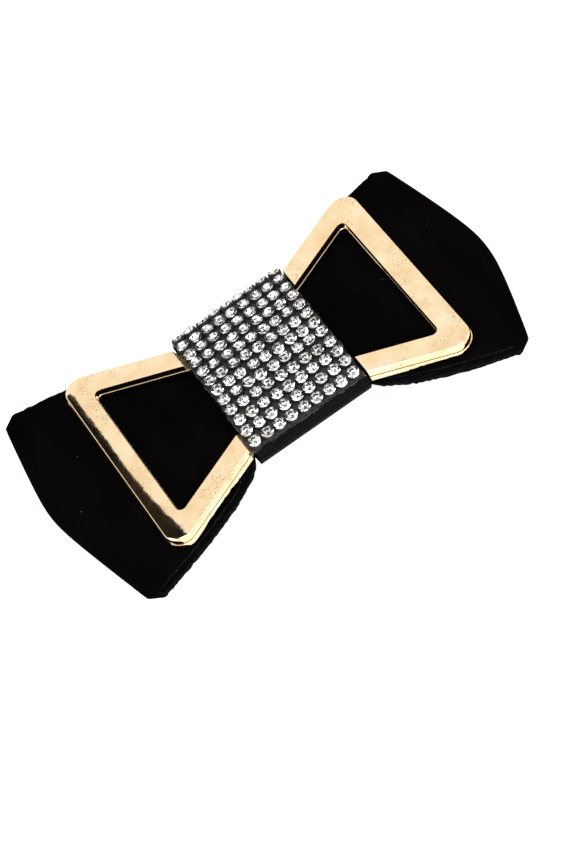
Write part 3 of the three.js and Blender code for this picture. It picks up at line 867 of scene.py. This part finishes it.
def frame_profile():
    """(inset, height) up the frame's side wall: a foot, a ledge at the parting line, and a soft crown."""
    low, high = frame_low.z, frame_high.z
    middle = low + PARTING_SHARE * (high - low)
    foot = [(0.6, low), (0.2, low + 0.08), (0.04, low + 0.3), (0.0, middle - 0.12)]
    ledge = [(0.05, middle), (PARTING_INSET, middle + 0.05), (PARTING_INSET, middle + 0.3)]
    wall = [(CROWN_INSET, middle + 0.36), (CROWN_INSET, high - 0.6)]
    crown = [(0.22, high - 0.34), (0.34, high - 0.14), (0.54, high)]
    return foot + ledge + wall + crown


def loft_wall(bm, corners, way):
    """One wall of the frame, ring by ring up its profile. Gives its lowest and its highest ring.

    The way is -1 for the frame's outline, which leans in, and 1 for a window, which widens by half as much.
    """
    profile = frame_profile()
    rings = []
    for inset, z in profile:
        grow = -inset if way < 0 else 0.5 * inset
        rings.append([bm.verts.new((p.x, p.y, z)) for p in rounded_ring(corners, grow)])
    for level, (lower, upper) in enumerate(zip(rings, rings[1:])):
        on_ledge = profile[level][0] == PARTING_INSET
        for a, b, c, d in zip(lower, lower[1:] + lower[:1], upper[1:] + upper[:1], upper):
            face = bm.faces.new((a, b, c, d))
            # The groove's faces above the ledge take slot 1: gold painted dark brown as the groove's shade.
            face.material_index = 1 if on_ledge else 0
    return rings[0], rings[-1]


def fill_level(bm, rings):
    """The flat face between the outline's ring and the windows' rings."""
    edges = []
    for ring in rings:
        edges += [bm.edges.get(ends) for ends in zip(ring, ring[1:] + ring[:1])]
    bmesh.ops.triangle_fill(bm, use_beauty=True, edges=edges)


def make_frame():
    """The moulded and gilt hourglass, lofted ring by ring and then let down under the band."""
    bm = bmesh.new()
    walls = [loft_wall(bm, frame_outline(), -1)]
    walls += [loft_wall(bm, window_outline(side), 1) for side in (1, -1)]
    fill_level(bm, [lowest for lowest, highest in walls])
    fill_level(bm, [highest for lowest, highest in walls])
    cut_for_recess(bm)
    for vertex in bm.verts:
        vertex.co = let_down(vertex.co)
    points = [v.co.copy() for v in bm.verts]
    bm.verts.index_update()
    faces = [tuple(v.index for v in f.verts) for f in bm.faces]
    # Faces on the left step and beside the band take slot 2, the recess's painted reflection and shade.
    slots = [2 if beside_patch(f) else f.material_index for f in bm.faces]
    bm.free()
    looks = [gold, parting_groove_shade, recess_shade_gilt]
    piece = make_piece("gold_frame", points, faces, looks, slots=slots, sharp=FRAME_CRISP)
    weigh = piece.modifiers.new("even_shading", "WEIGHTED_NORMAL")
    weigh.keep_sharp = True
    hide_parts("gold_bow_frame")


CUT_REACH = 18.5
CUT_SIDE = 17.5
CUT_PITCH = 1.25


def cut_for_recess(bm):
    """Cross cuts where the frame bends down to the recess, so that its flat faces can curve."""
    cuts = [(Vector((x, 0, 0)), Vector((1, 0, 0))) for x in recess_stations()]
    for i in range(round(2 * CUT_SIDE / CUT_PITCH) + 1):
        cuts.append((Vector((0, CUT_PITCH * i - CUT_SIDE, 0)), Vector((0, 1, 0))))
    for place, way in cuts:
        near = [f for f in bm.faces if min(abs(v.co.x) for v in f.verts) < CUT_REACH]
        edges = {e for f in near for e in f.edges}
        verts = {v for f in near for v in f.verts}
        bmesh.ops.bisect_plane(bm, geom=[*verts, *edges, *near], plane_co=place, plane_no=way, dist=1e-5)


def recess_stations():
    """The x of the cross cuts: close together over both steps, and a few between them."""
    left = [RECESS[0] - 0.6 + 0.12 * i for i in range(13)]
    right = [RECESS[1] + 0.2 - 0.08 * i for i in range(8)]
    return left + right + [-11.5, -5.5, 0, 5.5, 11.5]


def beside_patch(face):
    """Whether a face of the frame lies on its left step or in the low part that shows beside the band."""
    middle = sum((v.co for v in face.verts), Vector()) / len(face.verts)
    return RECESS_SHADE[0] < middle.x < RECESS_SHADE[1] and middle.z > frame_low.z + RECESS_SHADE_ABOVE


BAND_GAP = 0.25
SHOULDER_EASE = 1.2
SHOULDER_DROP = 0.9


def let_down(point):
    """A point of the plain frame, pressed inside the band where the band goes over it."""
    share = min(smoothstep(*LEFT_STEP, point.x), 1 - smoothstep(*RIGHT_STEP, point.x))
    if share <= 0:
        return point
    clear = -(BAND_THICKNESS + BAND_GAP)
    angle = math.asin(max(-1.0, min(1.0, point.y / (DOME_RADIUS + clear))))
    roof = SADDLE_TOP - DOME_RADIUS + (DOME_RADIUS + clear) * math.cos(angle)
    side = 1 if point.y > 0 else -1
    wall = abs(saddle(side * WALL_RUN[side], clear)[0])
    shoulder = max(0.0, abs(point.y) - (wall - SHOULDER_EASE)) / SHOULDER_EASE
    roof -= SHOULDER_DROP * min(1.0, shoulder) ** 2
    z = min(point.z, roof)
    y = math.copysign(min(abs(point.y), wall), point.y)
    return Vector((point.x, point.y + (y - point.y) * share, point.z + (z - point.z) * share))


# ---- Rhinestones ---------------------------------------------------------------------------------

# Rows stand side by side along X, and the stones of a row follow each other over the band. Heights are
# above the band's outside.
ROWS = 9
PER_ROW = 12
ROW_PITCH = 3.2
PITCH = 3.26
FIRST_RUN = -16.15
DRIFT = 0.011  # the patch is glued on a little askew: its shift towards +X with each millimetre of run
PATCH_X = (net_low.x + net_high.x) / 2 - CENTRE.x
NET_BASE = 0.1
NET_TOP = 0.5
NET_MARGIN = 1.48
FILM_BASE = 0.03
FILM_TOP = 0.09
STONE_MISFIT = 0.08
STONE_LEAN = 3.4
FACETS = 8
STONE_RADIUS = 1.41
TABLE_RADIUS = 0.80
GIRDLE = 1.32
GIRDLE_HEIGHT = 0.1
CROWN = 0.52
PAVILION = 0.88


def stone_seats():
    """The place and turn of each stone, row by row, with the small misfits of a glued net."""
    dice = random.Random(12)
    rows = []
    for i in range(ROWS):
        row = []
        for j in range(PER_ROW):
            run = FIRST_RUN + j * PITCH + dice.uniform(-STONE_MISFIT, STONE_MISFIT)
            row_x = PATCH_X + DRIFT * run + (i - (ROWS - 1) / 2) * ROW_PITCH
            x = row_x + dice.uniform(-STONE_MISFIT, STONE_MISFIT)
            lean = (math.radians(dice.gauss(0, STONE_LEAN)), math.radians(dice.gauss(0, STONE_LEAN)))
            row.append((x, run, lean, dice.uniform(0, TAU)))
        rows.append(row)
    return rows


def on_saddle(x, run, lean, spin):
    """The matrix that puts a shape, made upright about the origin, on the saddle."""
    y, z, angle = saddle(run)
    tilt = Matrix.Rotation(-angle + lean[0], 4, "X") @ Matrix.Rotation(lean[1], 4, "Y")
    return Matrix.Translation((x, y, z)) @ tilt @ Matrix.Rotation(spin, 4, "Z")


def chaton_points():
    """The table's corners, the girdle's upper and lower rings, and the point of the pavilion.

    The lower ring dips at every other corner, so that each facet of the pavilion is flat.
    """
    rim = 2 * FACETS
    sink = PAVILION * (1 / math.cos(math.pi / FACETS) - 1)
    points = [around(TABLE_RADIUS, FACETS, k, GIRDLE + CROWN) for k in range(FACETS)]
    points += [around(STONE_RADIUS, rim, j, GIRDLE + GIRDLE_HEIGHT) for j in range(rim)]
    points += [around(STONE_RADIUS, rim, j, GIRDLE - (sink if j % 2 == 0 else 0)) for j in range(rim)]
    return points + [(0, 0, GIRDLE - sink - PAVILION)]


def chaton():
    """One cut stone: points, faces and slots. Slot 0 is glass and slot 1 the silvered back."""
    rim = 2 * FACETS
    upper, lower, tip = FACETS, FACETS + rim, FACETS + 2 * rim
    glass = [tuple(range(FACETS))]
    for k in range(FACETS):
        here, left, right = upper + 2 * k, upper + (2 * k - 1) % rim, upper + (2 * k + 1) % rim
        glass += [(k, (k + 1) % FACETS, right), (k, left, here), (k, here, right)]
    silver = [(upper + j, upper + (j + 1) % rim, lower + (j + 1) % rim, lower + j) for j in range(rim)]
    for k in range(0, rim, 2):
        silver.append((lower + k, lower + k + 1, lower + (k + 2) % rim, tip))
    return chaton_points(), glass + silver, [0] * len(glass) + [1] * len(silver)


def make_stones(seats):
    shape, faces, slots = chaton()
    for i, row in enumerate(seats):
        parts = []
        for x, run, lean, spin in row:
            place = on_saddle(x, run, lean, spin)
            parts.append(([place @ Vector(p) for p in shape], faces))
        points, all_faces = join_parts(parts)
        name = f"rhinestones_row_{i + 1}"
        piece = make_piece(name, points, all_faces, [cut_glass, foil], slots=slots * len(row), sharp=0)
        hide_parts(f"stone_row_{i + 1}")


def cup():
    """The raised ring that grips one stone."""
    root = NET_TOP - 0.1
    outside = [(1.60, root), (1.58, 1.05), (1.53, 1.28)]
    inside = [(1.46, 1.30), (1.45, 1.1), (1.44, root)]
    profile = outside + inside
    sides = 18
    points = []
    for k in range(sides):
        points += [around(radius, sides, k, z) for radius, z in profile]
    return points, ring_faces(sides, len(profile))


def patch_border():
    """The net's nominal border: lowest and highest x, and first and last run."""
    half = (ROWS - 1) * ROW_PITCH / 2 + NET_MARGIN
    last_run = FIRST_RUN + (PER_ROW - 1) * PITCH
    return PATCH_X - half, PATCH_X + half, FIRST_RUN - NET_MARGIN, last_run + NET_MARGIN


def saddle_sheet(low_x, high_x, low_run, high_run, base, top, edge):
    """A thin closed sheet on the saddle. edge(x, run) moves its border out by a small amount."""
    across = 48
    runs = 96
    points = []
    for i in range(runs + 1):
        run = low_run + (high_run - low_run) * i / runs
        for offset, order in ((top, range(across + 1)), (base, reversed(range(across + 1)))):
            for j in order:
                x = low_x + (high_x - low_x) * j / across
                out = 1 if j == across else -1 if j == 0 else 0
                long = 1 if i == runs else -1 if i == 0 else 0
                moved_x = x + DRIFT * run + out * edge(x, run)
                y, z, _ = saddle(run + long * edge(x, run), offset)
                points.append((moved_x, y, z))
    per_ring = 2 * (across + 1)
    faces = ring_faces(runs + 1, per_ring, close_rings=False)
    for start in (0, runs * per_ring):
        for j in range(across):
            faces.append((start + j, start + j + 1, start + per_ring - 2 - j, start + per_ring - 1 - j))
    return points, faces


def nibbled(x, run):
    """The net's cut edge: a little wider beside each stone, and uneven."""
    return 0.12 * math.cos(TAU * (run - FIRST_RUN) / PITCH) + 0.1 * rough(x, run, 1, 1.3) - 0.05


def torn(x, run):
    """The film's edge, which stands past the net's by an uneven amount."""
    return 0.15 + 0.4 * rough(x * 0.8, run * 0.8, 5, 1.7)


def make_net(seats):
    """The net's moulded sheet with a cup round each stone, cut between stones at its border."""
    sheet = saddle_sheet(*patch_border(), NET_BASE, NET_TOP, nibbled)
    ring_points, faces = cup()
    cups = []
    for row in seats:
        for x, run, lean, spin in row:
            place = on_saddle(x, run, lean, spin)
            cups.append(([place @ Vector(p) for p in ring_points], faces))
    points, all_faces = join_parts([sheet, *cups])
    piece = make_piece("rhinestone_net_cups", points, all_faces, [net_plastic])
    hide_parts("rhinestone_net")


def make_film():
    """The thin clear film that shows past the net's cut edges, torn unevenly."""
    points, faces = saddle_sheet(*patch_border(), FILM_BASE, FILM_TOP, torn)
    piece = make_piece("net_edge_film", points, faces, [edge_film])


# ---- Steel ---------------------------------------------------------------------------------------

ALONG, ACROSS, UP = 0, 1, 2


def dress_steel():
    """The barrette's own CAD parts keep their shape and get plated-steel looks."""
    along = steel_material("nickel_strip", ALONG)
    bright = steel_material("nickel_spring", ALONG, (0.62, 0.61, 0.59))
    turned = steel_material("nickel_turned", ACROSS, (0.58, 0.565, 0.54))
    upright = steel_material("nickel_ear", UP, (0.60, 0.585, 0.56))
    looks = {
        "base_plate": along,
        "clasp_arm": along,
        "tension_bar": bright,
        "hinge_pin": turned,
        "latch_rivet": turned,
        "latch_bracket": bright,
        "latch_ear_front": upright,
        "latch_ear_back": upright,
    }
    for node, material in looks.items():
        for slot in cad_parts[node].material_slots:
            slot.material = material


# ---- Studio --------------------------------------------------------------------------------------

FLOOR_REACH = 3.0
FLOOR_DROP = 0.0002


def make_floor():
    """A pale light table, which glows enough to be white in the picture. Its sizes are in metres."""
    mesh = bpy.data.meshes.new("floor")
    corners = [(-1, -1), (1, -1), (1, 1), (-1, 1)]
    mesh.from_pydata([(FLOOR_REACH * x, FLOOR_REACH * y, 0) for x, y in corners], [], [(0, 1, 2, 3)])
    floor = bpy.data.objects.new("floor", mesh)
    bpy.context.scene.collection.objects.link(floor)
    m = Recipe("pale_floor", Roughness=0.8, Emission_Strength=0.85)
    m.shader.inputs["Emission Color"].default_value = (1, 1, 1, 1)
    m.shader.inputs["Specular IOR Level"].default_value = 0.1
    m.colour(m.ramp(m.noise(60, detail=1), [(0.3, (0.35, 0.35, 0.35)), (0.7, (0.37, 0.37, 0.37))]))
    mesh.materials.append(m.material)
    floor.location.z = cad_low.z - FLOOR_DROP


def softbox(name, direction, distance, size, radiance):
    """A rectangular light that looks at the clip, with the brightness it shows in a mirror."""
    light = bpy.data.lights.new(name, "AREA")
    light.shape = "RECTANGLE"
    light.size, light.size_y = size
    light.energy = radiance * math.pi * size[0] * size[1]
    lamp = bpy.data.objects.new(name, light)
    bpy.context.scene.collection.objects.link(lamp)
    way = Vector(direction).normalized()
    lamp.location = CENTRE * MM + way * distance
    lamp.rotation_euler = way.to_track_quat("Z", "Y").to_euler()


CARD_HEIGHT = 103
CARD_EDGE = [(-31.5, 18), (-31.8, 30), (-34.2, 36), (-36.4, 46.8), (-38.0, 58.6), (-39.2, 74), (-41, 96)]
CARD_FAR_SIDE = [(-130, 110), (-130, 18)]


def make_card():
    """A black card, hung above the clip for the dark edge that it shows in the frame's left end bar."""
    name = "card_over_end_bar"
    corners = [Vector((x, y, CARD_HEIGHT)) for x, y in CARD_EDGE + CARD_FAR_SIDE]
    mesh = bpy.data.meshes.new(name)
    mesh.from_pydata([(corner + CENTRE) * MM for corner in corners], [], [tuple(range(len(corners)))])
    m = Recipe(name, Roughness=0.9)
    m.shader.inputs["Specular IOR Level"].default_value = 0.1
    m.colour(m.ramp(m.noise(9, detail=3), [(0.4, (0.002, 0.0015, 0.001)), (0.7, (0.025, 0.02, 0.015))]))
    mesh.materials.append(m.material)
    board = bpy.data.objects.new(name, mesh)
    bpy.context.scene.collection.objects.link(board)
    board.visible_camera = False
    board.visible_shadow = False


def make_lights():
    """Four large softboxes and a white room."""
    softbox("key_left", (-0.95, -0.10, 0.75), 1.2, (0.8, 0.8), 3.2)
    softbox("fill_right", (0.95, -0.35, 0.60), 1.3, (0.7, 0.9), 2.2)
    softbox("front_low", (-0.15, -1.0, 0.55), 1.2, (1.1, 0.35), 0.9)
    softbox("zenith", (0.05, -0.02, 1.0), 1.3, (0.7, 0.7), 2.4)
    world = bpy.data.worlds.new("studio")
    bpy.context.scene.world = world
    world.use_nodes = True
    background = world.node_tree.nodes["Background"]
    background.inputs["Color"].default_value = (1, 1, 1, 1)
    background.inputs["Strength"].default_value = 1.0


def make_camera():
    """From the front and a little left, 52 degrees down, rolled so that the bow slants."""
    data = bpy.data.cameras.new("camera")
    data.lens = 108.75
    data.sensor_width = 36
    data.clip_start, data.clip_end = 0.05, 20
    camera = bpy.data.objects.new("camera", data)
    bpy.context.scene.collection.objects.link(camera)
    forward = Vector((0.077, 0.604, -0.793)).normalized()
    right = Vector((0.818, -0.493, -0.296))
    right = (right - forward * right.dot(forward)).normalized()
    up = right.cross(forward)
    turn = Matrix((right, up, -forward)).transposed()
    place = (CENTRE + Vector((-47.3, -350.9, 458.3))) * MM
    camera.matrix_world = Matrix.Translation(place) @ turn.to_4x4()
    bpy.context.scene.camera = camera


make_bow()
make_thread()
make_frame()
make_band()
seats = stone_seats()
make_net(seats)
make_film()
make_stones(seats)
dress_steel()
make_floor()
make_card()
make_lights()
make_camera()
bpy.context.scene.view_settings.view_transform = "Standard"
